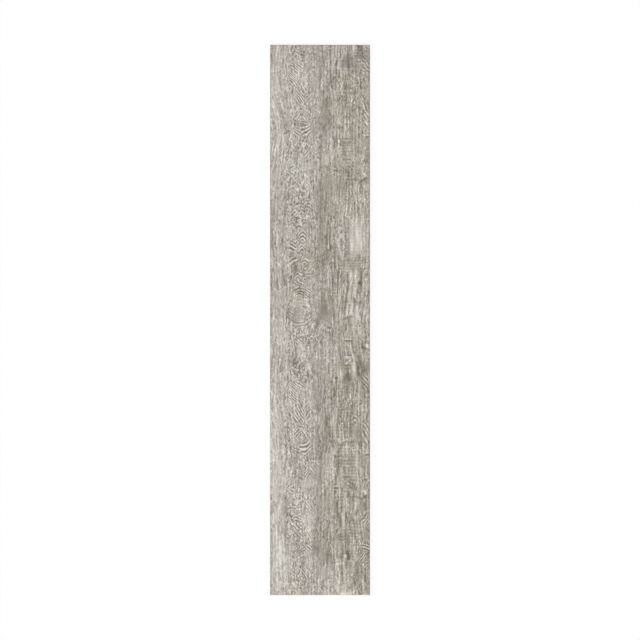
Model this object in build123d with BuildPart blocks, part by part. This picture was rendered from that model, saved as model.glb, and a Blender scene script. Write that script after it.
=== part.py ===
from build123d import *
import os

# Plank floor tile of glazed porcelain with a wood-look face, pressed and fired as one piece.
# X runs across the plank, Y along it and Z up. The keyed back lies on Z = 0 and the face looks up.

# Overall sizes, in millimetres
face_width = 200.0
face_length = 1100.0
tile_thickness = 9.5

# Edges: the bevel ground round the face, and the chamfer that the press leaves round the back
face_bevel = 0.8
back_chamfer = 1.0

# Keyed back: shallow pressed cells for the adhesive to grip, parted by ribs, inside a plain rim
rim_width = 10.0
rib_width = 4.0
cell_pitch = 30.0
cell_depth = 0.6
cell_corner_clip = 3.0
cell_draft_angle = 30.0

# The cells are as many as fit at about the wanted pitch, and fill the space inside the rim evenly
keyed_width = face_width - 2 * rim_width + rib_width
keyed_length = face_length - 2 * rim_width + rib_width
cells_across = max(1, int(keyed_width // cell_pitch))
cells_along = max(1, int(keyed_length // cell_pitch))
pitch_across = keyed_width / cells_across
pitch_along = keyed_length / cells_along

# The tile's body, a ground slab with both of its rims eased
with BuildPart() as tile:
    with BuildSketch(Plane.XY):
        Rectangle(face_width, face_length)
    extrude(amount=tile_thickness)
    face_edges = tile.faces().sort_by(Axis.Z)[-1].edges()
    back_edges = tile.faces().sort_by(Axis.Z)[0].edges()
    chamfer(face_edges, length=face_bevel)
    chamfer(back_edges, length=back_chamfer)

    # The keyed back, with walls that lean in so that the press tool lets go
    with BuildSketch(Plane.XY) as cells:
        with GridLocations(pitch_across, pitch_along, cells_across, cells_along):
            Rectangle(pitch_across - rib_width, pitch_along - rib_width)
        chamfer(cells.vertices(), length=cell_corner_clip)
    extrude(amount=cell_depth, taper=cell_draft_angle, mode=Mode.SUBTRACT)

tile.part.label = "tile"
os.makedirs("parts", exist_ok=True)
export_step(tile.part, "parts/tile.step")
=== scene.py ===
import math
from collections import namedtuple

import bmesh
import bpy
import numpy as np
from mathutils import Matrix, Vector


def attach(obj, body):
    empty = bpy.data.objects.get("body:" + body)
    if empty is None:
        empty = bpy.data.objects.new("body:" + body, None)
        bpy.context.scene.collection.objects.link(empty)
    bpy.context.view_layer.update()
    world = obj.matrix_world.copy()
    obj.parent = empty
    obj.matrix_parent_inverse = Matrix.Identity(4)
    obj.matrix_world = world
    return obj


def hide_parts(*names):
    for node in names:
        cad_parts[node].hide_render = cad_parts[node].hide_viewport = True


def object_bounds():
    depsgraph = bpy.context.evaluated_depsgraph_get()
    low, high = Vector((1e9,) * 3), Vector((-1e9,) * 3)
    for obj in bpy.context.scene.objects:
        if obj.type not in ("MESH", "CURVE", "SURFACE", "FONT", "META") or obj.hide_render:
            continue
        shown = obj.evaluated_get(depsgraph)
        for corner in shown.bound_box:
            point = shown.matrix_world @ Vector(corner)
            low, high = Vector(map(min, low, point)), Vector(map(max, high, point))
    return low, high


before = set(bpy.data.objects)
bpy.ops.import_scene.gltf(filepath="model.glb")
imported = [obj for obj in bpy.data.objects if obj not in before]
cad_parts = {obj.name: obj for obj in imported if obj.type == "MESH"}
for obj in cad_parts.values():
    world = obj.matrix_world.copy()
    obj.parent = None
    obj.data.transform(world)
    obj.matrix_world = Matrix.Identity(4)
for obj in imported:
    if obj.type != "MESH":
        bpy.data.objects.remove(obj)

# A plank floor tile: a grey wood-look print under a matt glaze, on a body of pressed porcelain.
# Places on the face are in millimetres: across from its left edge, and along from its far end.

cad_low, cad_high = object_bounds()

MM = 0.001
FACE_WIDTH = (cad_high.x - cad_low.x) / MM
FACE_LENGTH = (cad_high.y - cad_low.y) / MM
FACE_HEIGHT = cad_high.z / MM

# The relief's mesh: how many steps it has across the face and along it
FACE_COLUMNS = 140
FACE_ROWS = 660

# Points of the CAD mesh that are nearer than this are one point
WELD_GAP = 0.01 * MM

# How deep the pressed grain is, in millimetres
ARCH_DEPTH = 0.14
GROOVE_DEPTH = 0.22
STREAK_DEPTH = 0.25
SAW_DEPTH = 0.08

# The far stretch of the print comes again this much further along
PRINT_REPEAT = 635.0

# The saw marks' pitch, and the stretch within which ring lines turn over their crest
SAW_PITCH = 6.0
CREST_ROUNDING = 2.5

# How far the grain leans to the right as it runs along, on the left side and on the right side
LEAN_LEFT_FAR = ((0, 0), (90, 0), (175, 12), (230, 9), (280, 2))
LEAN_LEFT_MIDDLE = ((300, 0), (570, 0), (620, 6))
LEAN_LEFT_NEAR = ((940, 0), (1100, 2))
LEAN_RIGHT_FAR = ((0, 0), (280, 0))
LEAN_RIGHT_MIDDLE = ((300, 0), (440, 0), (545, -11), (600, -11), (630, -4))
LEAN_RIGHT_NEAR = ((940, -2), (1100, 4))
LEAN_ROUNDING = 12

# Where one strip across the face gives way to the next: where the change starts, and where it is complete
PALE_STRIP_END = (14, 34)
STRAIGHT_STRIP_END = (26, 40)
LEFT_LEAN_END = (40, 90)
MIDDLE_STRIP_START = (70, 90)
DARK_SIDE_START = (80, 96)
LEFT_SIDE_END = (80, 120)
CURLY_STRIP_END = (84, 104)
OLIVE_SIDE_START = (92, 112)
SAW_SIDE_START = (105, 135)
MIDDLE_STRIP_END = (110, 125)
RIGHT_LEAN_START = (120, 150)

# The same along the face, where the greyer far end of the olive side gives way
FAR_GREY_END = (50, 90)

# How the strips differ: tones in steps of grey out of 255, the rest as shares
PALE_STRIP_TONE = 6.0
DARK_SIDE_TONE = -10.0
STRAIGHT_STRIP_CALM = 0.16
MIDDLE_STRIP_CALM = 0.14
FAR_GREY_SHARE = 0.4
SAW_SIDE_SHARE = 0.15
CURL_EVERYWHERE = 0.20
CURL_LEFT_SIDE = 0.25

# How much small bends shift the ring lines, in turns a millimetre, and what curly grain adds to that
RING_WRIGGLE = 0.09
RING_WRIGGLE_CURLY = 0.06

# Single streaks: how much they are brought out, how many steps of grey count in full, how sharply they end,
# how much they calm the grain under them, and the most that grain is calmed
STREAK_CONTRAST = 1.45
FULL_STREAK = 30
STREAK_END_POWER = 6
STREAK_CALM = 0.5
MOST_CALM = 0.7

# Soft noise: how much it counts, the size of its squares across and along, and its seed
Noise = namedtuple("Noise", "amount across along seed")
NOISE_SQUARES = 256
SLOW_BEND = Noise(5.0, 60, 190, 1)
MIDDLE_BEND = Noise(2.0, 22, 50, 2)
SMALL_BEND = Noise(2.6, 9, 11, 3)
TINY_BEND = Noise(1.4, 5, 7, 4)
RAGGED_ACROSS = Noise(5.0, 9, 26, 5)
RAGGED_ALONG = Noise(9.0, 12, 20, 6)
STREAK_SWAY = Noise(1.2, 20, 14, 7)
WIDE_GROOVES = Noise(0.6, 3.2, 46, 8)
FINE_GROOVES = Noise(0.4, 1.9, 22, 9)
SAW_SWAY = Noise(1.5, 18, 30, 10)
ARCH_SWAY = Noise(2.0, 12, 12, 11)

# The noise at which a groove starts, and at which it is at its full depth
GROOVE_RANGE = (0.05, 0.75)

# The print's features, placed one by one while comparing renders with the photo. Those called FAR come again
# one print repeat further along, and those called ONCE don't. Each table runs from the far end to the near
# one.

# Groups of ring lines that arch over the grain: where, how wide and long on each side, how many
# millimetres the lines fall for each one to the left and to the right, their pitch, and how strong
Arch = namedtuple("Arch", "across along half_width half_length left right pitch strength")
ARCHES_FAR = (
    (190, 40, 8, 18, -1.3, 1.3, 6, 0.7), (54, 45, 15, 9, -0.6, 0.7, 4.4, 1),
    (46, 68, 10, 18, -1, 1, 4.2, 1), (64, 80, 10, 14, -1.5, 1.5, 5, 0.5),
    (59, 102, 10, 17, -1.6, 1.6, 4.8, 0.9), (76, 104, 7, 14, 1.6, -1.6, 5, 0.5),
    (169, 113, 7, 8, 1.2, 1.2, 6, 0.6), (64, 129, 7, 6, 0.8, 0.8, 4.8, 0.5),
    (56, 139, 8, 11, 1.3, -1.3, 4.6, 0.7), (192, 140, 7, 26, -1.6, 1.6, 6.5, 0.6),
    (71, 141, 8, 12, -1.4, 1.4, 4.8, 0.7), (65, 154, 6, 5, 0.3, -0.3, 4.6, 0.5),
    (71, 171, 13, 14, -0.1, -1, 5.6, 1), (57, 175, 12, 9, -0.6, 0.1, 5.6, 0.6),
    (192, 180, 7, 6, -0.5, -0.5, 6, 0.7), (86, 214, 8, 10, -1.3, 1.3, 5, 0.6),
    (73, 218, 9, 11, 1.3, -1.3, 4.6, 0.7), (157, 238, 11, 9, 1, 1, 6, 0.4),
    (42, 247, 7, 5, 0.8, -0.8, 6, 0.7), (129, 252, 8, 9, 0.9, 0.9, 6, 0.4),
    (42, 257, 7, 5, -0.8, 0.8, 6, 0.7), (77, 282, 8, 8, -1.2, 1.2, 4.8, 0.7),
    (44, 288, 8, 9, 1.3, 1.3, 5, 0.5),
)
ARCHES_ONCE = (
    (78, 314, 8, 9, 0.7, 0.9, 5.5, 0.5), (54, 318, 10, 9, 1, 0.8, 6, 0.6),
    (44, 340, 7, 12, 0.8, -0.8, 6, 0.5), (60, 363, 9, 7, 0.8, 0.6, 6, 0.7),
    (65, 383, 11, 16, 1.8, 1.5, 4, 1), (45, 404, 9, 14, -0.5, 0.5, 6.5, 1),
    (64, 405, 7, 12, 1.6, 1.6, 3.8, 0.9), (46, 431, 10, 11, 0.6, -0.6, 7, 0.8),
    (70, 432, 9, 8, 1, 1, 5, 0.7), (70, 445, 9, 7, -1, -1, 5, 0.6), (77, 459, 10, 6, 0, 0, 5, 0.7),
    (56, 461, 11, 8, 0.5, 0.5, 5.6, 0.8), (58, 476, 12, 7, -0.4, 0.6, 5.6, 0.7),
    (59, 493, 12, 11, 0.6, 0.6, 4.8, 1), (77, 496, 9, 10, -0.8, 0.8, 4.2, 1),
    (62, 530, 9, 16, -0.2, -0.2, 6, 0.4), (42, 543, 10, 10, -0.9, 0.9, 4.4, 0.7),
    (60, 558, 12, 7, -0.3, -0.3, 5.5, 0.8), (58, 590, 9, 9, -0.9, 0.9, 6, 0.6),
    (90, 590, 10, 8, -1, 1, 4.6, 0.5), (62, 642, 12, 10, 1, -1, 6, 0.5), (45, 925, 9, 8, 0.8, 0.8, 5, 0.6),
    (78, 926, 9, 8, -0.9, 0.9, 5, 0.6), (52, 946, 11, 9, 0.6, 0.6, 5.5, 0.6),
    (191, 950, 8, 15, 1.2, -1.2, 5, 0.8), (56, 964, 9, 9, -1, 1, 5, 0.7),
    (60, 980, 8, 9, -1.6, 1.6, 4.6, 0.6), (76, 980, 7, 14, -1.8, 1.8, 4.6, 0.5),
    (193, 1004, 9, 9, -0.2, 0.3, 5.6, 1), (76, 1005, 9, 9, -1, 1, 4.4, 0.9),
    (60, 1006, 9, 9, 0.8, -0.8, 4.6, 0.7), (60, 1022, 10, 7, 0.5, -0.5, 5.6, 0.6),
    (186, 1022, 8, 11, 1.4, -1.4, 4.5, 1), (192, 1040, 8, 10, 0.9, -0.9, 5, 0.6),
    (72, 1052, 11, 9, -1.2, 1.2, 5, 0.6),
)

# Soft-edged patches of the print: where, how wide and long on each side, and how strong
Patch = namedtuple("Patch", "across along half_width half_length strength")

# Patches where the grain is curly
CURL_FAR = (
    (60, 15, 18, 18, 0.6), (150, 84, 24, 22, 0.5), (66, 118, 14, 8, 0.5), (70, 205, 22, 16, 0.8),
    (156, 238, 13, 9, 0.7), (60, 284, 26, 12, 0.7),
)
CURL_ONCE = (
    (62, 332, 30, 36, 1), (124, 350, 8, 9, 0.6), (140, 378, 12, 30, 0.5), (46, 392, 14, 30, 0.8),
    (122, 444, 12, 14, 0.5), (88, 446, 14, 14, 0.5), (57, 460, 22, 14, 0.9), (108, 564, 10, 10, 0.6),
    (60, 580, 26, 18, 0.8), (92, 588, 18, 18, 0.7), (72, 652, 24, 14, 0.6), (112, 950, 16, 13, 0.5),
    (50, 960, 18, 34, 1), (72, 1004, 20, 14, 0.9), (72, 1050, 18, 14, 0.8), (52, 1078, 18, 12, 0.6),
    (112, 1080, 16, 10, 0.6),
)

# Patches where the grain is faint
CALM_FAR = (
    (156, 34, 8, 10, 0.7), (156, 51, 8, 6, 0.5), (93, 68, 12, 20, 0.4), (112, 117, 12, 18, 0.3),
    (110, 143, 12, 9, 0.25), (92, 165, 11, 21, 0.35), (188, 194, 9, 7, 0.5), (158, 215, 24, 34, 0.3),
    (74, 238, 12, 9, 0.6), (10, 255, 9, 14, 0.5), (115, 282, 15, 12, 0.5),
)
CALM_ONCE = (
    (26, 296, 10, 12, 0.5), (110, 318, 16, 44, 0.2), (124, 335, 9, 8, 0.5), (45, 377, 7, 14, 0.6),
    (177, 388, 19, 35, 0.55), (162, 437, 30, 15, 0.35), (58, 511, 9, 6, 0.5), (110, 531, 12, 18, 0.65),
    (60, 537, 10, 18, 0.8), (28, 604, 8, 12, 0.5), (177, 630, 6, 16, 0.5), (95, 634, 10, 11, 0.6),
    (75, 950, 8, 15, 0.5), (40, 1004, 8, 10, 0.5), (92, 1004, 8, 9, 0.6), (76, 1032, 11, 14, 0.55),
    (108, 1052, 10, 9, 0.6), (150, 1084, 12, 10, 0.5),
)

# Lighter and darker patches, in steps of grey out of 255
TONE_FAR = (
    (58, 8, 17, 14, -17), (182, 13, 13, 14, -28), (14, 18, 16, 26, -5), (196, 18, 6, 18, -12),
    (156, 34, 8, 10, -44), (181, 36, 8, 9, -13), (164, 45, 16, 10, -10), (105, 48, 20, 18, -6),
    (157, 51, 8, 5, -10), (194, 60, 8, 20, -14), (62, 62, 22, 26, 6), (124, 74, 6, 14, -8),
    (143, 75, 8, 26, -12), (101, 81, 9, 11, -8), (29, 88, 16, 13, 10), (116, 111, 8, 11, -30),
    (6, 112, 9, 12, 11), (126, 119, 5, 18, 10), (154, 124, 16, 32, -16), (114, 127, 8, 10, -26),
    (14, 130, 16, 40, 3), (108, 143, 7, 10, -20), (121, 143, 6, 9, -14), (113, 162, 14, 16, -12),
    (92, 165, 12, 22, -7), (50, 180, 9, 20, -9), (183, 194, 8, 11, -11), (104, 204, 7, 16, 12),
    (131, 206, 8, 17, -14), (18, 208, 18, 44, 6), (119, 212, 14, 18, 15), (177, 232, 7, 34, 8),
    (78, 239, 10, 11, 9), (60, 248, 30, 20, 8), (68, 272, 14, 20, 8), (131, 272, 8, 26, -8),
    (168, 286, 7, 20, -12),
)
TONE_ONCE = (
    (13, 4, 14, 13, -20), (115, 6, 8, 12, 11), (147, 8, 6, 12, -11), (108, 90, 13, 14, -9),
    (187, 96, 9, 24, 11), (193, 162, 8, 13, -11), (75, 222, 30, 9, -8), (75, 285, 20, 12, 6),
    (26, 292, 8, 8, -10), (6, 297, 9, 11, -20), (193, 313, 8, 28, 17), (149, 314, 10, 12, -13),
    (15, 315, 14, 26, -8), (168, 316, 24, 26, 6), (72, 318, 11, 30, -10), (97, 325, 8, 20, 15),
    (120, 328, 10, 20, 11), (62, 332, 28, 36, -8), (0, 340, 4, 260, -9), (160, 347, 16, 20, 17),
    (177, 348, 18, 9, 14), (110, 350, 10, 80, -12), (45, 375, 7, 17, 16), (177, 388, 19, 35, 33),
    (147, 390, 14, 30, 4), (117, 404, 13, 24, -18), (8, 408, 12, 44, -17), (64, 408, 14, 24, -10),
    (186, 411, 14, 12, 10), (80, 425, 22, 26, -11), (117, 432, 14, 13, -10), (160, 437, 34, 15, -5),
    (62, 460, 34, 22, -11), (130, 470, 24, 14, -12), (192, 480, 9, 32, 15), (71, 493, 9, 12, -22),
    (58, 497, 13, 11, -32), (108, 503, 11, 20, -18), (57, 511, 11, 7, 14), (6, 530, 9, 36, -10),
    (110, 531, 13, 19, -30), (180, 535, 18, 18, 14), (45, 540, 16, 14, -9), (149, 541, 8, 14, 20),
    (96, 557, 24, 12, -14), (145, 560, 9, 9, 9), (124, 561, 8, 8, 14), (155, 572, 9, 11, -9),
    (66, 580, 10, 24, -7), (192, 584, 8, 18, -12), (20, 586, 18, 28, 13), (72, 588, 10, 7, -10),
    (187, 595, 10, 6, -14), (106, 603, 10, 10, -9), (34, 605, 10, 22, 11), (62, 612, 10, 14, 8),
    (75, 619, 10, 12, 12), (112, 625, 17, 22, 13), (177, 630, 6, 22, -26), (52, 638, 7, 9, -10),
    (68, 645, 8, 8, -11), (20, 650, 18, 30, 14), (188, 652, 10, 26, -10), (95, 655, 9, 7, -12),
    (152, 659, 6, 8, 10), (170, 678, 10, 10, -10), (40, 702, 7, 18, -8), (119, 733, 8, 16, -12),
    (96, 757, 9, 14, 16), (4, 770, 7, 28, 13), (134, 775, 8, 18, 8), (12, 790, 12, 60, 6),
    (172, 816, 10, 14, -8), (31, 821, 10, 12, 11), (139, 848, 6, 16, 7), (7, 876, 10, 30, 17),
    (0, 890, 4, 220, 8), (28, 890, 12, 22, 9), (150, 902, 8, 24, -22), (106, 912, 9, 14, -12),
    (117, 936, 12, 11, -9), (67, 941, 9, 16, 13), (186, 943, 8, 10, -9), (20, 948, 14, 20, 22),
    (75, 950, 9, 17, 19), (134, 955, 12, 15, -11), (77, 976, 9, 14, 17), (114, 981, 8, 12, 9),
    (13, 998, 9, 20, -9), (64, 1000, 10, 11, 19), (108, 1000, 20, 40, -8), (92, 1005, 9, 8, -13),
    (16, 1020, 14, 48, 26), (56, 1020, 8, 12, -12), (144, 1021, 6, 8, 11), (131, 1030, 6, 16, -9),
    (75, 1031, 10, 15, 13), (30, 1040, 12, 32, 14), (168, 1040, 10, 34, 11), (82, 1042, 9, 16, 9),
    (122, 1044, 12, 14, -4), (184, 1058, 10, 18, -8), (4, 1063, 7, 11, 15), (65, 1064, 9, 36, -16),
    (116, 1068, 16, 28, 15), (148, 1080, 16, 16, 24), (22, 1084, 16, 18, 20), (122, 1094, 16, 13, 22),
    (149, 1100, 16, 8, 50),
)

# Patches that leave the hue of their side: olive ones above zero, mauve ones below
HUE_FAR = (
    (115, 76, 21, 26, -1), (110, 116, 12, 18, 0.6), (114, 168, 18, 34, -1), (119, 214, 15, 18, -0.6),
)
HUE_ONCE = (
    (150, 22, 50, 30, -1), (178, 388, 20, 36, -1), (147, 390, 15, 34, -1), (86, 408, 18, 20, 0.8),
    (116, 434, 17, 16, -1), (68, 438, 32, 17, 0.9), (132, 468, 30, 19, -1), (52, 502, 17, 16, 1.1),
    (183, 514, 18, 34, -1), (134, 534, 38, 19, -1), (114, 606, 20, 60, -1), (154, 629, 14, 17, -1),
    (114, 948, 20, 18, -1), (82, 981, 18, 17, 0.9), (114, 1062, 21, 36, -1), (52, 1081, 18, 19, 0.9),
)

# Patches with the bluish cast of bleached wood
COOL_FAR = (
    (12, 140, 24, 106, 0.85), (60, 248, 32, 22, 0.9),
)
COOL_ONCE = (
    (48, 288, 20, 16, 0.7), (18, 580, 22, 36, 0.85), (14, 1010, 26, 86, 0.9),
)

# Patches with the marks of a saw across the grain
SAW_FAR = (
    (156, 206, 12, 22, 1), (149, 267, 17, 7, 0.5),
)
SAW_ONCE = (
    (178, 385, 16, 32, 0.4), (162, 437, 30, 15, 0.7), (168, 470, 10, 16, 0.4), (158, 527, 8, 11, 0.8),
    (160, 828, 22, 40, 0.6), (170, 1000, 24, 40, 0.3),
)

# Knots that the grain bends round, with the lift at their middle in millimetres
KNOTS_FAR = (
    (169, 74, 4, 6, 6), (188, 261, 7, 9, 6),
)
KNOTS_ONCE = (
    (70, 440, 8, 12, 12), (189, 463, 6, 10, 7), (196, 606, 9, 14, 9), (191, 638, 5, 8, 7),
    (206, 950, 16, 22, 16), (137, 984, 5, 8, 8),
)

# Single streaks from one place to another, in steps of grey
Streak = namedtuple("Streak", "across along to_across to_along half_width strength")
STREAKS_FAR = (
    (78, 0, 79, 16, 2.4, 12), (168, 0, 169, 21, 3, 24), (122, 6, 122, 40, 1.8, 14),
    (138, 14, 138, 54, 1.8, 14), (145, 20, 144, 33, 1.8, 16), (103, 54, 103, 70, 1.6, -14),
    (156, 55, 156, 73, 1.8, -18), (128, 62, 128, 69, 2.2, -26), (122, 69, 123, 77, 2.4, -24),
    (135, 74, 135, 96, 2.2, 12), (123, 79, 123, 86, 2.4, -26), (129, 96, 129, 132, 3, 12),
    (9, 105, 22, 150, 1.6, -14), (18, 120, 36, 168, 1.6, -14), (142, 122, 141, 150, 2.2, 18),
    (133, 151, 144, 160, 3, 20), (189, 153, 195, 159, 2.2, 28), (123, 154, 123, 164, 2, -16),
    (174, 154, 174, 206, 2.4, 20), (101, 155, 101, 161, 1.8, -24), (150, 155, 162, 155, 1.5, 18),
    (187, 157, 196, 164, 1.6, -20), (147, 158, 168, 158, 1.6, -22), (131, 160, 131, 186, 1.6, 14),
    (178, 163, 178, 168, 2, -24), (133, 164, 150, 164, 2.2, -20), (153, 165, 149, 172, 2.4, 24),
    (124, 168, 124, 206, 2, 18), (149, 172, 149, 189, 2.2, 14), (178, 177, 178, 182, 2, -24),
    (103, 178, 103, 184, 2, -22), (191, 179, 196, 179, 1.8, 30), (102, 180, 102, 250, 1.5, -18),
    (112, 182, 112, 191, 1.8, 18), (190, 184, 197, 184, 1.8, -32), (128, 188, 165, 188, 1.5, -22),
    (135, 190.5, 165, 190.5, 1.3, 20), (141, 192.5, 147, 192.5, 1.7, -30), (156, 193, 163, 193, 1.7, -28),
    (117, 196, 117, 200, 1.8, -20), (128, 196, 129, 206, 2.2, -20), (133, 197.5, 165, 197.5, 1.5, -16),
    (141, 205, 141, 238, 3.4, 13), (148, 208, 148, 221, 2.2, -22), (147, 225.5, 178, 225.5, 1.5, 15),
    (145, 229, 163, 229, 1.8, -26), (150, 230, 154, 236, 2, -16), (146, 231.5, 178, 231.5, 1.4, 12),
    (166, 233, 166, 247, 1.8, -18), (188, 238, 183, 253, 2, 18), (128, 244, 133, 244, 1.6, -22),
    (158, 245, 167, 242, 1.8, -14), (125, 247.5, 133, 247.5, 1.5, 18), (163, 247.5, 163, 251.5, 2.2, -30),
    (126, 248, 126, 272, 2.2, 14), (138, 248, 144, 248, 1.4, 14), (128, 250.5, 136, 250.5, 1.6, -26),
    (187, 255, 192, 263, 2.2, 36), (183, 258, 187, 255, 1.8, 16), (150, 262, 150, 284, 2, 18),
    (154, 269, 180, 269, 2, -20), (180, 275, 194, 265, 2, -40), (134, 277, 134, 292, 1.8, -18),
    (172, 278, 171, 294, 2.2, 16),
)
STREAKS_ONCE = (
    (100, 296, 101, 442, 2.2, -10), (126, 302, 127, 318, 2.4, 18), (104, 308, 105, 328, 1.8, -12),
    (109, 308, 109, 318, 1.8, -14), (154, 318, 154, 346, 1.8, 16), (157, 320, 157, 334, 1.6, -16),
    (118, 343, 117, 352, 1.8, 14), (130, 348, 127, 358, 1.8, 12), (160, 348, 160, 388, 1.8, -18),
    (185, 360, 185, 418, 1.6, -13), (137, 362, 137, 372, 2, 12), (169, 362, 168, 414, 1.6, -13),
    (144, 364, 145, 376, 2, 12), (176, 366, 175, 400, 3, 12), (131, 386, 131, 450, 1.6, -22),
    (165, 396, 165, 420, 1.6, 12), (138, 419, 138, 430, 2, -20), (191, 420, 191, 438, 1.4, -16),
    (134, 424, 134, 452, 1.8, 14), (152, 424, 152, 452, 2, 12), (109, 426, 110, 432, 2.4, -16),
    (130, 434, 130, 448, 2.2, -16), (53, 436, 51, 459, 3.6, -26), (136, 440, 150, 440, 1.8, -14),
    (183.5, 448, 182.5, 488, 2, -42), (162, 450, 161, 486, 3.2, 34), (168, 452, 167, 484, 1.7, -16),
    (154, 454, 156, 479, 3, -16), (173, 456, 172, 487, 3.4, 24), (179, 472, 178.5, 480, 3, -50),
    (140, 478, 140, 516, 1.6, 12), (156, 480, 155, 496, 1.7, -34), (171, 484, 170, 506, 2.8, 28),
    (161, 486, 159, 518, 3.8, 24), (155, 496, 151, 520, 1.5, -28), (170, 506, 167, 536, 2, -26),
    (166, 514, 161, 541, 2.4, 42), (176, 514, 174, 556, 2.6, 24), (156, 517, 152, 544, 2.2, 30),
    (122, 518, 122, 533, 1.6, 14), (128, 518, 128, 533, 1.6, 14), (150, 520, 149, 532, 2.4, -16),
    (125, 522, 125, 530, 1.6, -14), (38, 531, 33, 540, 1.6, -20), (33, 541, 41, 550, 1.6, -22),
    (146, 549, 165, 541, 1.9, -30), (42, 550, 55, 556, 1.6, -20), (107, 558, 111, 561, 2.4, -14),
    (175, 560, 175, 592, 3, 16), (126, 566, 126, 586, 1.8, -16), (105, 568, 109, 571, 2.4, -14),
    (148, 588.5, 164, 588.5, 1.5, 34), (148, 591.5, 164, 591.5, 1.6, -42), (63, 597, 67, 620, 2.4, 24),
    (161, 598, 161, 616, 1.8, 16), (193.5, 598, 194, 605, 2.2, 84), (187.5, 599, 187.5, 604, 1.5, 30),
    (185, 600, 185, 607, 2, -30), (51, 602, 52, 626, 2.2, -22), (183, 603, 194, 609, 2.6, -32),
    (55, 612, 56, 628, 1.8, 20), (145, 614, 146, 646, 2.8, -14), (147, 620.5, 163, 620.5, 1.5, -34),
    (169, 622, 170, 656, 2.8, 25), (147, 623, 163, 623, 1.4, 34), (50, 626, 48, 640, 2.8, -26),
    (164, 627, 164, 634, 1.6, -24), (61, 630, 58, 642, 1.8, 24), (150, 630.5, 157, 630.5, 1.6, -34),
    (157, 632, 161, 630, 1.8, 34), (76, 634, 83, 657, 2.2, 26), (191, 634, 191, 641, 1.8, 18),
    (151, 636, 157, 634, 1.8, 30), (147, 641, 164, 641, 1.6, -36), (140, 644, 140, 668, 1.6, 14),
    (177, 644, 178, 650, 2.6, -16), (147, 647, 160, 647, 1.6, -26), (186, 650, 193, 650, 1.8, -20),
    (123, 652, 123, 666, 1.8, 14), (149, 886, 149, 966, 3, 21), (138, 912, 138, 926, 1.6, 16),
    (171, 912, 169, 932, 2.4, 22), (134, 914, 135, 938, 1.8, -22), (187, 914, 192, 930, 3.2, -22),
    (34, 918, 34, 934, 1.6, -18), (32, 930, 31, 1000, 2, -14), (139, 934, 141, 966, 3.4, -23),
    (164, 934, 164, 958, 2, -16), (154, 936, 154, 960, 2.4, -20), (186, 937, 198, 928, 1.8, 26),
    (190, 962, 194, 940, 1.8, 16), (150, 966, 150, 984, 1.8, -14), (154, 972, 157, 1012, 4.2, -24),
    (134, 978, 134, 990, 1.8, -18), (140, 978, 140, 990, 1.8, -16), (162, 980, 161, 1008, 2, 20),
    (28, 988, 29, 1014, 1.8, 14), (123, 1008, 123, 1031, 1.6, -14), (155, 1011, 156, 1030, 3.5, -64),
    (18, 1012, 20, 1042, 2.2, 14), (151, 1018, 151, 1025, 2, 36), (175, 1028, 172, 1066, 3.8, -18),
    (65, 1029, 65, 1048, 1.8, -24), (132, 1030, 132, 1058, 2, 12), (154, 1030, 152, 1045, 2.8, -24),
    (147, 1034, 147, 1049, 2, 18), (190, 1057, 192, 1076, 2.4, -26), (136, 1060, 136, 1096, 2.4, 16),
    (170, 1066, 168, 1084, 3, -22),
)


def again(feature):
    """The same feature one print repeat further along."""
    moved = feature._replace(along=feature.along + PRINT_REPEAT)
    if isinstance(feature, Streak):
        moved = moved._replace(to_along=feature.to_along + PRINT_REPEAT)
    return moved


def whole_plank(kind, far, once):
    """All features from two tables, with those of the far stretch again at the end."""
    far = [kind._make(row) for row in far]
    once = [kind._make(row) for row in once]
    return far + once + [again(feature) for feature in far]


def path_again(points):
    """The same path one print repeat further along."""
    return tuple((along + PRINT_REPEAT, value) for along, value in points)


LEAN_LEFT = LEAN_LEFT_FAR + LEAN_LEFT_MIDDLE + path_again(LEAN_LEFT_FAR) + LEAN_LEFT_NEAR
LEAN_RIGHT = LEAN_RIGHT_FAR + LEAN_RIGHT_MIDDLE + path_again(LEAN_RIGHT_FAR) + LEAN_RIGHT_NEAR
ARCHES = whole_plank(Arch, ARCHES_FAR, ARCHES_ONCE)
CURL = whole_plank(Patch, CURL_FAR, CURL_ONCE)
CALM = whole_plank(Patch, CALM_FAR, CALM_ONCE)
TONE = whole_plank(Patch, TONE_FAR, TONE_ONCE)
HUE = whole_plank(Patch, HUE_FAR, HUE_ONCE)
COOL = whole_plank(Patch, COOL_FAR, COOL_ONCE)
SAW = whole_plank(Patch, SAW_FAR, SAW_ONCE)
KNOTS = whole_plank(Patch, KNOTS_FAR, KNOTS_ONCE)
STREAKS = whole_plank(Streak, STREAKS_FAR, STREAKS_ONCE)


def soft_noise(kind, across, along):
    """Smooth noise of one kind at each place, always the same for its seed."""
    table = np.random.default_rng(kind.seed).uniform(-1.0, 1.0, (NOISE_SQUARES, NOISE_SQUARES))
    across = across / kind.across
    along = along / kind.along
    column = np.floor(across).astype(int)
    row = np.floor(along).astype(int)
    right = across - column
    down = along - row
    right = right * right * (3 - 2 * right)
    down = down * down * (3 - 2 * down)
    column, next_column = column % NOISE_SQUARES, (column + 1) % NOISE_SQUARES
    row, next_row = row % NOISE_SQUARES, (row + 1) % NOISE_SQUARES
    near = table[row, column] * (1 - right) + table[row, next_column] * right
    far = table[next_row, column] * (1 - right) + table[next_row, next_column] * right
    return kind.amount * (near * (1 - down) + far * down)


def soft_step(value, start, end):
    """Rises smoothly from 0 at start to 1 at end."""
    share = np.clip((value - start) / (end - start), 0.0, 1.0)
    return share * share * (3 - 2 * share)


def soft_path(along, points, blur):
    """A path through the points with its corners rounded over about the blur's length."""
    axis = np.arange(-4 * blur, FACE_LENGTH + 4 * blur, 1.0)
    straight = np.interp(axis, *zip(*points))
    reach = np.arange(-3 * blur, 3 * blur + 1)
    bell = np.exp(-0.5 * (reach / blur) ** 2)
    padded = np.pad(straight, len(reach) // 2, mode="edge")
    rounded = np.convolve(padded, bell / bell.sum(), mode="valid")
    return np.interp(along, axis, rounded)


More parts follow.
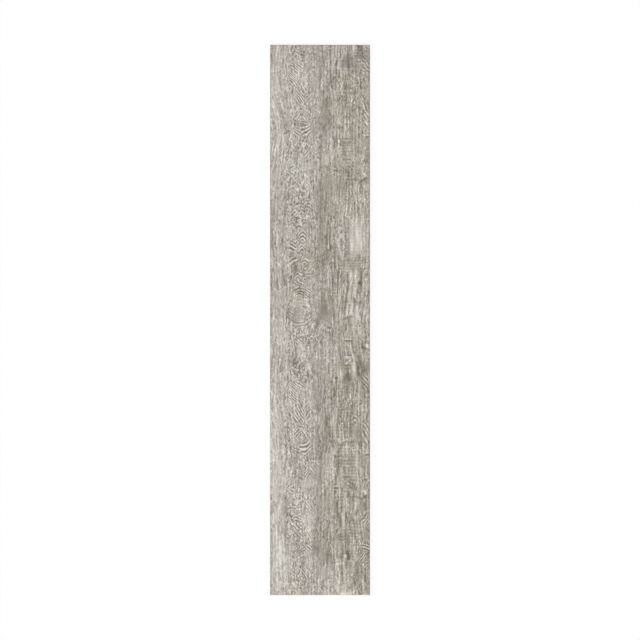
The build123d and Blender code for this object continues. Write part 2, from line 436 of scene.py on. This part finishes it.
def patches(across, along, features):
    """The sum of soft-edged patches."""
    total = np.zeros_like(across)
    for patch in features:
        radius = ((across - patch.across) / patch.half_width) ** 2
        radius = radius + ((along - patch.along) / patch.half_length) ** 2
        total += patch.strength * np.exp(-radius ** 2)
    return total


def streaks(across, along):
    """The sum of the single streaks, each thinning out to its ends."""
    total = np.zeros_like(across)
    for streak in STREAKS:
        run_across = streak.to_across - streak.across
        run_along = streak.to_along - streak.along
        length = math.hypot(run_across, run_along)
        from_across = across - streak.across
        from_along = along - streak.along
        share = (from_across * run_across + from_along * run_along) / length ** 2
        aside = (from_across * run_along - from_along * run_across) / length
        ends = np.exp(-(np.abs(2 * share - 1)) ** STREAK_END_POWER)
        total += STREAK_CONTRAST * streak.strength * ends * np.exp(-(aside / streak.half_width) ** 2)
    return total


def arch_lines(across, along):
    """How many lines into its arch each place is, and how strongly that arch shows there."""
    turns = np.zeros_like(across)
    show = np.zeros_like(across)
    for arch in ARCHES:
        aside = across - arch.across
        down = along - arch.along
        radius = (aside / arch.half_width) ** 2 + (down / arch.half_length) ** 2
        strength = arch.strength * np.exp(-radius ** 2)
        crest = (arch.left + arch.right) / 2 * (np.hypot(aside, CREST_ROUNDING) - CREST_ROUNDING)
        tilt = (arch.right - arch.left) / 2 * aside
        steepness = math.hypot(1, max(abs(arch.left), abs(arch.right)))
        chosen = strength > show
        turns = np.where(chosen, (down - crest - tilt) / (arch.pitch * steepness), turns)
        show = np.maximum(show, strength)
    return turns, show


def grain_lines(across, along, worm):
    """Which line of the straight grain each place is on: it leans, bends, wriggles and goes round knots."""
    left_side = 1 - soft_step(across, *LEFT_SIDE_END)
    lean = soft_path(along, LEAN_LEFT, LEAN_ROUNDING) * (1 - soft_step(across, *LEFT_LEAN_END))
    lean += soft_path(along, LEAN_RIGHT, LEAN_ROUNDING) * soft_step(across, *RIGHT_LEAN_START)
    curl = CURL_EVERYWHERE + CURL_LEFT_SIDE * left_side + worm
    ring = across - lean
    ring += soft_noise(SLOW_BEND, across, along) + soft_noise(MIDDLE_BEND, across, along)
    ring += curl * small_bends(across, along)
    for knot in KNOTS:
        radius = ((across - knot.across) / knot.half_width) ** 2
        ring += knot.strength * np.exp(-radius - ((along - knot.along) / knot.half_length) ** 2)
    return ring


def small_bends(across, along):
    """How far the small bends of the grain carry each place, in millimetres."""
    return soft_noise(SMALL_BEND, across, along) + soft_noise(TINY_BEND, across, along)


def print_fields(across, along):
    """What the print and the relief are drawn from, at each place on the face."""
    worm = patches(across, along, CURL)
    straight_strip = 1 - soft_step(across, *STRAIGHT_STRIP_END)
    curly = (1 - straight_strip) * (1 - soft_step(across, *CURLY_STRIP_END))
    middle_strip = soft_step(across, *MIDDLE_STRIP_START) * (1 - soft_step(across, *MIDDLE_STRIP_END))
    single = streaks(across + soft_noise(STREAK_SWAY, across, along), along)
    turns, show = arch_lines(across + soft_noise(ARCH_SWAY, across, along), along)
    turns += (RING_WRIGGLE + RING_WRIGGLE_CURLY * worm) * small_bends(across, along)

    # Patches with ragged edges
    ragged_across = across + soft_noise(RAGGED_ACROSS, across, along)
    ragged_along = along + soft_noise(RAGGED_ALONG, across, along)
    far_grey = FAR_GREY_SHARE * (1 - soft_step(ragged_along, *FAR_GREY_END))
    olive = soft_step(ragged_across, *OLIVE_SIDE_START) * (1 - far_grey)
    olive += patches(ragged_across, ragged_along, HUE)
    cool = patches(ragged_across, ragged_along, COOL)
    tone = PALE_STRIP_TONE * (1 - soft_step(across, *PALE_STRIP_END))
    tone += DARK_SIDE_TONE * soft_step(ragged_across, *DARK_SIDE_START)
    tone += patches(ragged_across, ragged_along, TONE) + single
    calm = STRAIGHT_STRIP_CALM * straight_strip + MIDDLE_STRIP_CALM * middle_strip
    calm += patches(ragged_across, ragged_along, CALM)
    calm += STREAK_CALM * np.clip(np.abs(single) / FULL_STREAK, 0, 1)
    saw = SAW_SIDE_SHARE * soft_step(across, *SAW_SIDE_START) + patches(ragged_across, ragged_along, SAW)
    return {
        "ring": grain_lines(across, along, worm),
        "tone": tone,
        "olive": np.clip(olive, 0, 1),
        "cool": np.clip(cool, 0, 1),
        "turns": turns,
        "show": show,
        "calm": np.clip(calm, 0, MOST_CALM),
        "curly": curly,
        "worm": np.clip(worm, 0, 1),
        "saw": np.clip(saw, 0, 1),
        "single": single,
    }


def relief_depth(across, along, fields):
    """How far the pressed grain lies under the tile's highest plane, in millimetres."""
    ring = fields["ring"]
    lines = 0.5 - 0.5 * np.cos(2 * np.pi * fields["turns"])
    grooves = soft_noise(WIDE_GROOVES, ring, along) + soft_noise(FINE_GROOVES, ring, along)
    dark = np.clip(-fields["single"] / FULL_STREAK, 0, 1)
    saw_turns = (along + soft_noise(SAW_SWAY, across, along)) / SAW_PITCH
    saw_lines = 0.5 - 0.5 * np.cos(2 * np.pi * saw_turns)
    depth = ARCH_DEPTH * lines * fields["show"]
    depth += GROOVE_DEPTH * soft_step(grooves, *GROOVE_RANGE)
    depth += STREAK_DEPTH * dark
    depth += SAW_DEPTH * saw_lines * fields["saw"]
    return depth - depth.min()


def cad_levels(node):
    """The height where the tile's ground side starts, and the height where it ends at the bevel."""
    heights = np.array([vertex.co.z for vertex in node.data.vertices])
    middle = (cad_low.z + cad_high.z) / 2
    return heights[heights < middle].max(), heights[heights > middle].min()


def back_shell(node, side_low):
    """The keyed back and its chamfer up to the ground sides, from the CAD model, as points and faces."""
    shell = bmesh.new()
    shell.from_mesh(node.data)
    bmesh.ops.remove_doubles(shell, verts=shell.verts, dist=WELD_GAP)
    above = [face for face in shell.faces if max(v.co.z for v in face.verts) > side_low + WELD_GAP]
    bmesh.ops.delete(shell, geom=above, context="FACES")
    shell.verts.ensure_lookup_table()
    shell.verts.index_update()
    points = [tuple(vertex.co) for vertex in shell.verts]
    faces = [[vertex.index for vertex in face.verts] for face in shell.faces]
    shell.free()
    return points, faces


def grid_rim():
    """The face grid's rim, anticlockwise from its far left corner, as four runs of point numbers."""
    numbers = np.arange((FACE_ROWS + 1) * (FACE_COLUMNS + 1)).reshape(FACE_ROWS + 1, FACE_COLUMNS + 1)
    return [
        list(numbers[:-1, 0]),
        list(numbers[-1, :-1]),
        list(numbers[:0:-1, -1]),
        list(numbers[0, :0:-1]),
    ]


def face_grid(bevel):
    """The face: points sunk by the grain's depth, the quads between them, and the fields at each point."""
    across, along = np.meshgrid(
        np.linspace(bevel, FACE_WIDTH - bevel, FACE_COLUMNS + 1),
        np.linspace(bevel, FACE_LENGTH - bevel, FACE_ROWS + 1),
    )
    fields = print_fields(across, along)
    depth = relief_depth(across, along, fields)
    points = np.stack([cad_low.x + across * MM, cad_high.y - along * MM, cad_high.z - depth * MM], axis=-1)
    numbers = np.arange(across.size).reshape(across.shape)
    quads = np.stack([numbers[:-1, :-1], numbers[1:, :-1], numbers[1:, 1:], numbers[:-1, 1:]], axis=-1)
    return points.reshape(-1, 3), quads.reshape(-1, 4).tolist(), fields


def bevel_band(face_points, rim, bevel, side_high):
    """The bevel, from the grid's rim out to the top of the sides: its outer points and its quads."""
    outer_points = face_points[rim]
    outer_points[:, 0] *= FACE_WIDTH / (FACE_WIDTH - 2 * bevel)
    outer_points[:, 1] *= FACE_LENGTH / (FACE_LENGTH - 2 * bevel)
    outer_points[:, 2] = side_high
    first = len(face_points)
    quads = []
    for place, number in enumerate(rim):
        following = (place + 1) % len(rim)
        quads.append([number, first + place, first + following, rim[following]])
    return outer_points, quads


def side_fans(run, start_foot, end_foot):
    """One side, as two fans of triangles that meet half way along it."""
    half = len(run) // 2
    triangles = [[run[i], start_foot, run[i + 1]] for i in range(half)]
    triangles.append([run[half], start_foot, end_foot])
    triangles += [[run[i], end_foot, run[i + 1]] for i in range(half, len(run) - 1)]
    return triangles


def tile_mesh(node):
    """The tile as one closed mesh: pressed face, ground bevel and sides, and keyed back."""
    side_low, side_high = cad_levels(node)
    bevel = (cad_high.z - side_high) / MM
    face_points, face_quads, fields = face_grid(bevel)
    runs = grid_rim()
    rim = sum(runs, [])
    outer_points, bevel_quads = bevel_band(face_points, rim, bevel, side_high)
    back_points, back_faces = back_shell(node, side_low)
    first_outer = len(face_points)
    first_back = first_outer + len(outer_points)
    back_faces = [[first_back + number for number in face] for face in back_faces]

    def foot(place):
        """The back's corner below a corner of the sides."""
        target = Vector((*outer_points[place][:2], side_low))
        gaps = [(target - Vector(corner)).length for corner in back_points]
        return first_back + int(np.argmin(gaps))

    # Each side, from one corner of the bevel to the next
    sides = []
    corners = np.cumsum([0] + [len(run) for run in runs])
    for start, end in zip(corners[:-1], corners[1:]):
        places = [place % len(rim) for place in range(start, end + 1)]
        run = [first_outer + place for place in places]
        sides.append(side_fans(run, foot(places[0]), foot(places[-1])))

    points = np.concatenate([face_points, outer_points, np.array(back_points)])
    groups = [face_quads, bevel_quads] + sides + [back_faces]
    mesh = bpy.data.meshes.new("plank_tile")
    mesh.from_pydata(points.tolist(), [], sum(groups, []))
    group_of_face = np.repeat(np.arange(len(groups)), [len(group) for group in groups])
    mesh.polygons.foreach_set("material_index", (group_of_face > 0).astype(int))
    mesh.polygons.foreach_set("use_smooth", group_of_face == 0)
    for name in ("ring", "turns", "show", "tone", "olive", "cool", "calm", "curly", "worm", "saw"):
        values = np.zeros(len(points))
        values[:len(face_points)] = fields[name].ravel()
        mesh.attributes.new(name, "FLOAT", "POINT").data.foreach_set("value", values)
    lay_out(mesh, group_of_face)
    mesh.validate()
    mesh.update()
    return mesh


# Where the face, the back and the four sides lie on the texture map: left, bottom, right, top
MAP_FACE = (0.004, 0.030, 0.620, 0.996)
MAP_BACK = (0.640, 0.030, 0.930, 0.996)
MAP_LEFT = (0.940, 0.030, 0.962, 0.996)
MAP_NEAR = (0.004, 0.004, 0.300, 0.022)
MAP_RIGHT = (0.972, 0.030, 0.994, 0.996)
MAP_FAR = (0.320, 0.004, 0.616, 0.022)


def lay_out(mesh, group_of_face):
    """Gives the mesh a texture map on which the face has the most room."""
    points = np.empty(len(mesh.vertices) * 3)
    mesh.vertices.foreach_get("co", points)
    low, high = np.array(cad_low), np.array(cad_high)
    share = (points.reshape(-1, 3) - low) / (high - low)
    corner_point = np.empty(len(mesh.loops), dtype=int)
    mesh.loops.foreach_get("vertex_index", corner_point)
    corners = np.empty(len(mesh.polygons), dtype=int)
    mesh.polygons.foreach_get("loop_total", corners)
    corner_group = np.repeat(group_of_face, corners)
    maps = (MAP_FACE, MAP_FACE, MAP_LEFT, MAP_NEAR, MAP_RIGHT, MAP_FAR, MAP_BACK)
    axes = ((0, 1), (0, 1), (2, 1), (0, 2), (2, 1), (0, 2), (0, 1))
    spots = np.zeros((len(mesh.loops), 2))
    for group, (box, (first, second)) in enumerate(zip(maps, axes)):
        chosen = corner_group == group
        place = share[corner_point[chosen]]
        spots[chosen, 0] = box[0] + (box[2] - box[0]) * place[:, first]
        spots[chosen, 1] = box[1] + (box[3] - box[1]) * place[:, second]
    mesh.uv_layers.new(name="OFBake").data.foreach_set("uv", spots.ravel())


def srgb(red, green, blue):
    """A screen colour from 0 to 255 as the linear colour that a shader takes."""
    linear = []
    for level in (red, green, blue):
        level = level / 255
        linear.append(level / 12.92 if level <= 0.04045 else ((level + 0.055) / 1.055) ** 2.4)
    return (*linear, 1.0)


class Signal:
    """A number flowing through a material's nodes, so that sums are written as sums."""

    def __init__(self, recipe, socket):
        self.recipe = recipe
        self.socket = socket

    def __add__(self, other):
        return self.recipe.math("ADD", self, other)

    def __radd__(self, other):
        return self.recipe.math("ADD", other, self)

    def __sub__(self, other):
        return self.recipe.math("SUBTRACT", self, other)

    def __rsub__(self, other):
        return self.recipe.math("SUBTRACT", other, self)

    def __mul__(self, other):
        return self.recipe.math("MULTIPLY", self, other)

    def __rmul__(self, other):
        return self.recipe.math("MULTIPLY", other, self)

    def __truediv__(self, other):
        return self.recipe.math("DIVIDE", self, other)


class Recipe:
    """A material under construction."""

    def __init__(self, name):
        self.material = bpy.data.materials.new(name)
        self.material.use_nodes = True
        self.nodes = self.material.node_tree.nodes
        self.links = self.material.node_tree.links
        self.shader = self.nodes["Principled BSDF"]

    def put(self, socket, value):
        """Feeds a socket from a signal, or sets it to a plain value."""
        if isinstance(value, Signal):
            self.links.new(value.socket, socket)
        else:
            socket.default_value = value

    def math(self, operation, *values):
        node = self.nodes.new("ShaderNodeMath")
        node.operation = operation
        for socket, value in zip(node.inputs, values):
            self.put(socket, value)
        return Signal(self, node.outputs[0])

    def attribute(self, name):
        node = self.nodes.new("ShaderNodeAttribute")
        node.attribute_name = name
        return Signal(self, node.outputs["Fac"])

    def place(self):
        """The place on the tile in millimetres: across and along from its middle, and up."""
        coordinates = self.nodes.new("ShaderNodeTexCoord")
        parts = self.nodes.new("ShaderNodeSeparateXYZ")
        self.links.new(coordinates.outputs["Object"], parts.inputs[0])
        return [Signal(self, parts.outputs[axis]) * (1 / MM) for axis in "XYZ"]

    def noise(self, across, along, up=0.0, detail=1.0, roughness=0.5):
        """Soft noise from about 0 to 1 at a place given in units of its own grain."""
        vector = self.nodes.new("ShaderNodeCombineXYZ")
        for socket, value in zip(vector.inputs, (across, along, up)):
            self.put(socket, value)
        node = self.nodes.new("ShaderNodeTexNoise")
        self.links.new(vector.outputs[0], node.inputs["Vector"])
        node.inputs["Scale"].default_value = 1.0
        node.inputs["Detail"].default_value = detail
        node.inputs["Roughness"].default_value = roughness
        return Signal(self, node.outputs[0])

    def step(self, value, start, end):
        """Rises smoothly from 0 at start to 1 at end."""
        node = self.nodes.new("ShaderNodeMapRange")
        node.interpolation_type = "SMOOTHSTEP"
        for name, number in (("Value", value), ("From Min", start), ("From Max", end)):
            self.put(node.inputs[name], number)
        return Signal(self, node.outputs[0])

    def wave(self, turns):
        """A wave from -1 to 1 that repeats at each whole number."""
        return self.math("SINE", turns * (2 * math.pi))

    def ramp(self, value, stops):
        """A colour picked from stops of (value, colour), where the values run up from 0 to 1."""
        node = self.nodes.new("ShaderNodeValToRGB")
        self.put(node.inputs[0], value)
        elements = node.color_ramp.elements
        while len(elements) < len(stops):
            elements.new(0.5)
        for element, (position, colour) in zip(elements, stops):
            element.position = position
            element.color = colour
        return Signal(self, node.outputs[0])

    def mix(self, share, first, second, blend="MIX"):
        """The first colour, with a share of the second mixed in."""
        node = self.nodes.new("ShaderNodeMix")
        node.data_type = "RGBA"
        node.blend_type = blend
        for identifier, value in (("Factor_Float", share), ("A_Color", first), ("B_Color", second)):
            socket = next(s for s in node.inputs if s.identifier == identifier)
            self.put(socket, value)
        return Signal(self, next(s for s in node.outputs if s.identifier == "Result_Color"))

    def finish(self, colour, roughness, height, depth_mm, specular):
        """Wires the shader up: its colour, its roughness and a bump of the given depth."""
        bump = self.nodes.new("ShaderNodeBump")
        bump.inputs["Distance"].default_value = depth_mm * MM
        self.put(bump.inputs["Height"], height)
        self.links.new(bump.outputs[0], self.shader.inputs["Normal"])
        self.put(self.shader.inputs["Base Color"], colour)
        self.put(self.shader.inputs["Roughness"], roughness)
        self.shader.inputs["Specular IOR Level"].default_value = specular
        return self.material


# The print's greys, from its darkest lines to its palest: level out of 255, and colour
GREYS = (
    (100, srgb(108, 101, 91)),
    (130, srgb(138, 131, 121)),
    (150, srgb(158, 151, 142)),
    (170, srgb(177, 171, 162)),
    (190, srgb(197, 191, 183)),
    (220, srgb(227, 222, 214)),
)
PRINT_MIDDLE = 169.3

# How much each kind of line counts in the print, in steps of grey
BROAD_GREYS = 14.0
MEDIUM_GREYS = 44.0
THREAD_GREYS = 60.0
LONG_FIBRE_GREYS = 96.0
SHORT_FIBRE_GREYS = 168.0
HAIR_GREYS = 44.0
UPRIGHT_GREYS = 8.0
PORE_GREYS = 38.0
TICK_GREYS = 36.0
STROKE_GREYS = 24.0
RING_GREYS = 54.0
WORM_GREYS = 42.0
SAW_GREYS = 17.0

# Casts that the greys are multiplied by: hues of the print, and painted shade at the long edges
MAUVE_CAST = srgb(255, 253, 254)
OLIVE_CAST = srgb(255, 255, 249)
BLEACHED_CAST = srgb(252, 255, 254)
# Painted shade along the long edges, deeper on the right side, away from the lamp
LEFT_EDGE_SHADE = srgb(245, 249, 247)
RIGHT_EDGE_SHADE = srgb(240, 244, 245)

# How far in from a long edge its painted shade starts to show, and where it shows in full
LEFT_SHADE_BAND = (5.4, 3.0)
RIGHT_SHADE_BAND = (5.2, 2.8)

# The glaze's shine, and how deep the grain is that is too fine for the mesh, in millimetres
GLAZE_ROUGHNESS = 0.56
GLAZE_SPECULAR = 0.25
GLAZE_BUMP = 0.25


def wood_print():
    """The glazed face: arching rings, fibres, pores, saw marks and tones of weathered oak."""
    recipe = Recipe("wood_print_glaze")
    x, y, _ = recipe.place()
    ring = recipe.attribute("ring")
    show = recipe.attribute("show")
    saw = recipe.attribute("saw")

    # Lines that follow the grain: streaks, fibres and hairs from wide to fine, then separate marks
    broad = recipe.noise(ring * 0.045, y * 0.008, 1.37) - 0.5
    medium = recipe.noise(ring * 0.12, y * 0.020, 9.23) - 0.5
    upright = recipe.wave(ring / 6.8 + 1.1 * recipe.noise(ring * 0.07, y * 0.010, 6.19))
    long_fibre = recipe.noise(ring * 0.30, y * 0.018, 2.61, roughness=0.6) - 0.5
    short_fibre = recipe.noise(ring * 0.42, y * 0.24, 5.43, detail=2.0, roughness=0.7) - 0.5
    hair = recipe.noise(ring * 1.4, y * 0.09, 4.37, detail=2.0, roughness=0.6) - 0.5
    thread = recipe.noise(ring * 4.2, y * 0.45, 3.19, detail=2.0, roughness=0.7) - 0.5
    pores = recipe.step(recipe.noise(ring * 0.46, y * 0.10, 7.29), 0.61, 0.69)
    ticks = recipe.step(recipe.noise(ring * 0.44, y * 0.11, 8.57), 0.62, 0.70)
    dark_strokes = recipe.step(recipe.noise(ring * 0.24, y * 0.046, 1.83), 0.60, 0.67)
    pale_strokes = recipe.step(recipe.noise(ring * 0.22, y * 0.042, 3.77), 0.60, 0.67)

    # Ring lines of the arches, worn through here and there, and the short worms of curly grain
    worn = recipe.step(recipe.noise(x * 0.11, y * 0.10, 3.71), 0.15, 0.45)
    turns = recipe.attribute("turns")
    rings = (recipe.wave(turns) + 0.25 * recipe.wave(2.0 * turns)) * worn * show
    worm = recipe.attribute("worm")
    worms = recipe.wave(4.0 * recipe.noise(x * 0.138, y * 0.092, 2.17)) * worm * (1.0 - show)

    # Marks of the saw, across the grain
    sway = recipe.noise(x * 0.03, y * 0.02, 4.83)
    saw_lines = recipe.wave(y / SAW_PITCH + 1.4 * sway) * saw

    # Curly grain has shorter fibres and fewer strokes, and rings and worms push the other lines back
    curly = recipe.attribute("curly")
    uneven = 1.0 + 1.3 * (recipe.noise(x * 0.055, y * 0.030, 5.91) - 0.5)
    grain = LONG_FIBRE_GREYS * long_fibre * (1.0 - 0.3 * curly)
    grain = grain + SHORT_FIBRE_GREYS * short_fibre * (1.0 + 0.4 * curly)
    grain = grain + HAIR_GREYS * hair + UPRIGHT_GREYS * upright
    grain = (grain - PORE_GREYS * pores + TICK_GREYS * ticks) * uneven
    grain = grain + STROKE_GREYS * (pale_strokes - dark_strokes) * (1.0 - 0.7 * curly)
    grain = grain * (1.0 - 0.45 * show) * (1.0 - 0.25 * worm)
    grain = grain + RING_GREYS * rings + WORM_GREYS * worms + SAW_GREYS * saw_lines
    streak = BROAD_GREYS * broad + MEDIUM_GREYS * medium + THREAD_GREYS * thread
    level = PRINT_MIDDLE + recipe.attribute("tone") + streak + grain * (1.0 - recipe.attribute("calm"))

    low, high = GREYS[0][0], GREYS[-1][0]
    stops = [((grey - low) / (high - low), colour) for grey, colour in GREYS]
    colour = recipe.ramp((level - low) / (high - low), stops)
    cast = recipe.mix(recipe.attribute("olive"), MAUVE_CAST, OLIVE_CAST)
    cast = recipe.mix(recipe.attribute("cool"), cast, BLEACHED_CAST)
    colour = recipe.mix(1.0, colour, cast, blend="MULTIPLY")

    # Painted shade along the long edges: the print is made greyer and a little darker there, more on the
    # right
    half = FACE_WIDTH / 2
    fringe = 2.0 * long_fibre + 2.0 * short_fibre
    left_edge_shade = recipe.step(x + fringe, LEFT_SHADE_BAND[0] - half, LEFT_SHADE_BAND[1] - half)
    right_edge_shade = recipe.step(x + fringe, half - RIGHT_SHADE_BAND[0], half - RIGHT_SHADE_BAND[1])
    colour = recipe.mix(left_edge_shade, colour, LEFT_EDGE_SHADE, blend="MULTIPLY")
    colour = recipe.mix(right_edge_shade, colour, RIGHT_EDGE_SHADE, blend="MULTIPLY")

    roughness = GLAZE_ROUGHNESS + 0.10 * long_fibre - 0.06 * rings
    height = 0.5 * long_fibre + 0.5 * short_fibre + 0.3 * hair - 0.35 * pores
    height = height + 0.2 * thread + 0.2 * rings + 0.1 * saw_lines
    return recipe.finish(colour, roughness, height, GLAZE_BUMP, GLAZE_SPECULAR)


# The fired body from its darkest to its palest, the kiln wash on the back, and the colours on the bevel
BODY_GREYS = ((0.0, srgb(140, 137, 129)), (0.5, srgb(170, 167, 159)), (1.0, srgb(194, 191, 184)))
KILN_WASH = srgb(208, 205, 199)
GROUND_COAT = srgb(214, 211, 204)
GLAZED_BEVEL = srgb(150, 147, 138)

# The heights between which the kiln wash thickens, how far under the face the glaze ends, and, up from that
# line, where the ground coat starts, where it ends and where the glaze starts
WASH_HEIGHT = (0.45, 0.05)
GLAZE_LINE = 0.55
COAT_FOOT = (-0.14, -0.06)
COAT_HEAD = (0.22, 0.14)
GLAZE_FOOT = (0.16, 0.24)

BODY_ROUGHNESS = 0.72
BODY_SPECULAR = 0.3
BODY_BUMP = 0.12


def fired_body():
    """The bare porcelain of the bevel, the ground sides and the keyed back."""
    recipe = Recipe("fired_porcelain_body")
    x, y, z = recipe.place()
    cloud = recipe.noise(x * 0.03, y * 0.03, 2.3, detail=2.0) - 0.5
    speck = recipe.noise(x * 1.3, y * 1.3, z * 1.3, detail=2.0, roughness=0.6) - 0.5
    grit = recipe.step(recipe.noise(x * 1.9, y * 1.9, z * 1.9 + 7.7), 0.64, 0.70)
    grind = recipe.noise(z * 4.0, (x + y) * 0.02, 6.1, detail=2.0) - 0.5
    level = 0.5 + 0.55 * speck + 0.5 * cloud + 0.5 * grind - 0.30 * grit
    colour = recipe.ramp(level, BODY_GREYS)

    # Kiln wash that clings to the ribs of the back, and the pale ground coat under the glaze
    dusted = recipe.step(z, *WASH_HEIGHT) * (0.35 + 0.9 * cloud)
    colour = recipe.mix(dusted, colour, KILN_WASH)
    over_line = z - (FACE_HEIGHT - GLAZE_LINE + 0.5 * cloud)
    coat = recipe.step(over_line, *COAT_FOOT) * recipe.step(over_line, *COAT_HEAD)
    colour = recipe.mix(0.8 * coat, colour, GROUND_COAT)
    glazed = recipe.step(over_line, *GLAZE_FOOT)
    colour = recipe.mix(0.7 * glazed, colour, GLAZED_BEVEL)
    roughness = BODY_ROUGHNESS + 0.2 * speck
    return recipe.finish(colour, roughness, speck + 0.5 * grind, BODY_BUMP, BODY_SPECULAR)


def build_tile():
    """Replaces the plain CAD slab with the finished tile."""
    piece = bpy.data.objects.new("plank_tile", tile_mesh(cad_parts["tile"]))
    bpy.context.scene.collection.objects.link(piece)
    piece.data.materials.append(wood_print())
    piece.data.materials.append(fired_body())
    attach(piece, "root")
    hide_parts("tile")


# Light from the sky and from one soft lamp, which together show a colour as it is written
SKY_STRENGTH = 0.55
LAMP_SHARE = 0.45
LAMP_FROM = Vector((-0.45, -0.40, 1.0)).normalized()
LAMP_SOFTNESS = math.radians(24)

FLOOR_SIZE = 8.0
FLOOR_GAP = 0.0001
FLOOR_WHITE = 0.88
FLOOR_PAINT = (0.98, 0.98, 0.98, 1)
WHITE = (1, 1, 1, 1)


def seen_directly(nodes, links):
    """One for rays that show the backdrop: from the camera, a reflection or glass."""
    path = nodes.new("ShaderNodeLightPath")
    total = path.outputs["Is Camera Ray"]
    for name in ("Is Glossy Ray", "Is Transmission Ray"):
        larger = nodes.new("ShaderNodeMath")
        larger.operation = "MAXIMUM"
        links.new(total, larger.inputs[0])
        links.new(path.outputs[name], larger.inputs[1])
        total = larger.outputs[0]
    return total


def build_sky():
    """A sky that lights the tile evenly and looks white."""
    world = bpy.data.worlds.new("studio")
    bpy.context.scene.world = world
    world.use_nodes = True
    nodes, links = world.node_tree.nodes, world.node_tree.links
    sky = nodes["Background"]
    sky.inputs["Color"].default_value = WHITE
    strength = nodes.new("ShaderNodeMapRange")
    strength.inputs["To Min"].default_value = SKY_STRENGTH
    strength.inputs["To Max"].default_value = 1.0
    links.new(seen_directly(nodes, links), strength.inputs["Value"])
    links.new(strength.outputs[0], sky.inputs["Strength"])


def floor_paint():
    """White paint that keeps a faint shadow where it is seen directly."""
    material = bpy.data.materials.new("white_floor")
    material.use_nodes = True
    nodes, links = material.node_tree.nodes, material.node_tree.links
    nodes.clear()
    paint = nodes.new("ShaderNodeBsdfDiffuse")
    paint.inputs["Color"].default_value = FLOOR_PAINT
    glow = nodes.new("ShaderNodeEmission")
    glow.inputs["Color"].default_value = WHITE
    share = nodes.new("ShaderNodeMath")
    share.operation = "MULTIPLY"
    share.inputs[1].default_value = FLOOR_WHITE
    links.new(seen_directly(nodes, links), share.inputs[0])
    blend = nodes.new("ShaderNodeMixShader")
    links.new(share.outputs[0], blend.inputs[0])
    links.new(paint.outputs[0], blend.inputs[1])
    links.new(glow.outputs[0], blend.inputs[2])
    output = nodes.new("ShaderNodeOutputMaterial")
    links.new(blend.outputs[0], output.inputs["Surface"])
    return material


def build_floor():
    """The floor that the tile lies on."""
    half = FLOOR_SIZE / 2
    mesh = bpy.data.meshes.new("floor")
    corners = [(-half, -half), (half, -half), (half, half), (-half, half)]
    mesh.from_pydata([(x, y, cad_low.z - FLOOR_GAP) for x, y in corners], [], [(0, 1, 2, 3)])
    mesh.materials.append(floor_paint())
    floor = bpy.data.objects.new("floor", mesh)
    bpy.context.scene.collection.objects.link(floor)


def build_lamp():
    """One soft lamp, from the left and from the near end."""
    lamp = bpy.data.lights.new("soft_lamp", "SUN")
    lamp.energy = LAMP_SHARE * math.pi / LAMP_FROM.z
    lamp.angle = LAMP_SOFTNESS
    lamp_object = bpy.data.objects.new("soft_lamp", lamp)
    lamp_object.rotation_euler = LAMP_FROM.to_track_quat("Z", "Y").to_euler()
    bpy.context.scene.collection.objects.link(lamp_object)


# The photograph's frame, in which the face's length covers this many pixels of 640
FRAME_PIXELS = 640
FACE_PIXELS = 550.4
CAMERA_HEIGHT = 2.0


def build_camera():
    """A camera that looks straight down on the face, with no perspective."""
    camera = bpy.data.cameras.new("camera")
    camera.type = "ORTHO"
    camera.ortho_scale = FACE_LENGTH * MM * FRAME_PIXELS / FACE_PIXELS
    camera_object = bpy.data.objects.new("camera", camera)
    camera_object.location = ((cad_low.x + cad_high.x) / 2, (cad_low.y + cad_high.y) / 2, CAMERA_HEIGHT)
    bpy.context.scene.collection.objects.link(camera_object)
    bpy.context.scene.camera = camera_object


bpy.context.scene.view_settings.view_transform = "Standard"
build_camera()
build_sky()
build_floor()
build_lamp()
build_tile()

bpy.context.view_layer.update()
